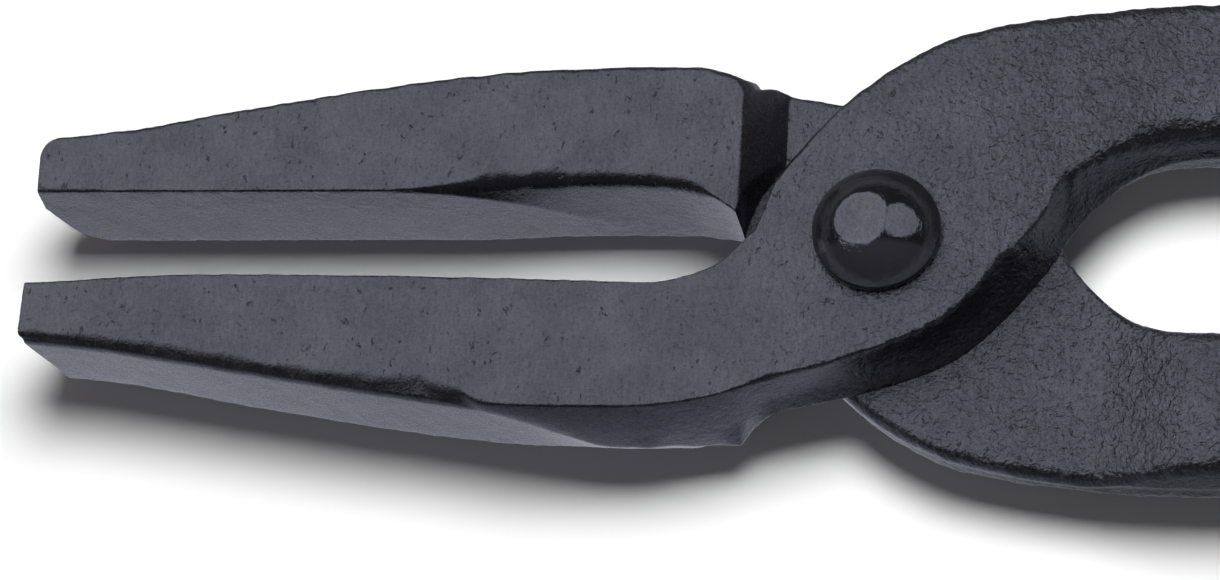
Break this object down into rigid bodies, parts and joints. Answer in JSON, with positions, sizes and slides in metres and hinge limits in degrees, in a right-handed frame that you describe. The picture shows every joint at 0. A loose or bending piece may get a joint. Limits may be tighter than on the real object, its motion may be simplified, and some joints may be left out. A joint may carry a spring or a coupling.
{
  "type": "blacksmith tongs",
  "caption": "Flat-jaw blacksmith tongs: two black forged halves with long reins, turning on one domed rivet, for holding hot bar and flat stock.",
  "frame": {"origin": "on the rivet axis, at the flat hammered on the lower rivet head, which the tongs rest on", "axes": "+Z along the rivet axis, up; +X from the rivet towards the ends of the reins, the jaws point to -X; +Y towards the rein of the top half"},
  "size_m": [0.4012, 0.0634, 0.025],
  "materials": {
    "forged_steel": "thin black semi-gloss forge coating over scaled, slightly rough steel",
    "rivet_steel": "smooth black gloss coating"
  },
  "bodies": {
    "bottom": {"bottom_half": "forged_steel"},
    "top": {"top_half": "forged_steel", "rivet": "rivet_steel"}
  },
  "joints": [
    {"name": "rivet_pivot", "type": "hinge", "parent": "bottom", "child": "top", "pos_m": [0, 0, 0.0117], "axis": [0, 0, 1], "range_deg": [-6, 24]}
  ]
}
